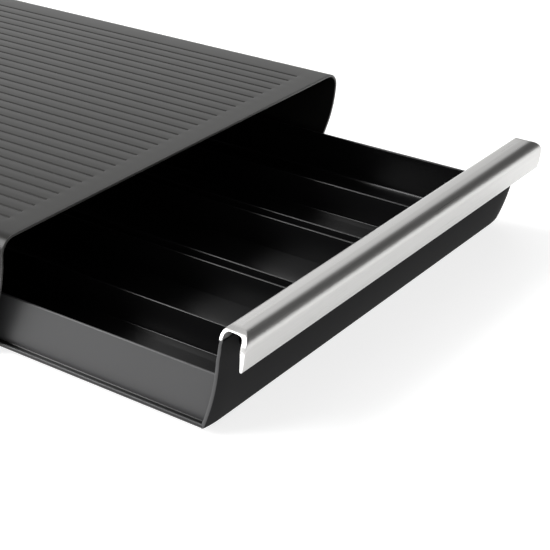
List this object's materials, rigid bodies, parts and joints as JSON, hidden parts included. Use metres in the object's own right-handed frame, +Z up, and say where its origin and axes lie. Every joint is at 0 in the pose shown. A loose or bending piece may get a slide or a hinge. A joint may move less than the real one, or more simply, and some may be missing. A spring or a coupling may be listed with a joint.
{
  "type": "desk drawer unit",
  "caption": "Low free-standing drawer unit: wrap-round casing with a grooved load-bearing deck and a sliding lane tray behind a swept front with a hook handle.",
  "frame": {"origin": "on the surface that the feet stand on, at the middle of the unit's overall length and width with the drawer out as stored", "axes": "+X to the unit's right seen from the handle, +Y from the handle to the rear panel, +Z up"},
  "size_m": [0.313, 0.497, 0.076],
  "materials": {
    "casing_plastic": "satin black moulded plastic",
    "drawer_plastic": "satin black moulded plastic",
    "handle_aluminium": "lengthwise brushed",
    "rail_plastic": "smooth low-friction plastic",
    "rubber": "matt",
    "screw_steel": "zinc plated",
    "tie_steel": "satin black paint"
  },
  "bodies": {
    "casing": {"casing_shell": "casing_plastic", "rear_panel": "casing_plastic", "rear_panel_screws": "screw_steel", "rail_screws": "screw_steel", "tie_screws": "screw_steel", "stop_screws": "screw_steel", "front_tie": "tie_steel", "rear_tie": "tie_steel", "runner_rail_left": "rail_plastic", "front_stop_left": "rail_plastic", "closing_bumper_left": "rubber", "foot_front_left": "rubber", "foot_rear_left": "rubber", "runner_rail_right": "rail_plastic", "front_stop_right": "rail_plastic", "closing_bumper_right": "rubber", "foot_front_right": "rubber", "foot_rear_right": "rubber"},
    "drawer": {"tray": "drawer_plastic", "front_panel": "drawer_plastic", "panel_screws": "screw_steel", "handle": "handle_aluminium", "handle_carrier": "drawer_plastic", "handle_screws": "screw_steel", "carrier_screws": "screw_steel", "lug_screws": "screw_steel", "divider_left": "drawer_plastic", "divider_channel_left": "drawer_plastic", "stop_lug_left": "rail_plastic", "divider_right": "drawer_plastic", "divider_channel_right": "drawer_plastic", "stop_lug_right": "rail_plastic"}
  },
  "joints": [
    {"name": "drawer_slide", "type": "slide", "parent": "casing", "child": "drawer", "axis": [0, -1, 0], "range_m": [-0.149, 0.095]}
  ]
}
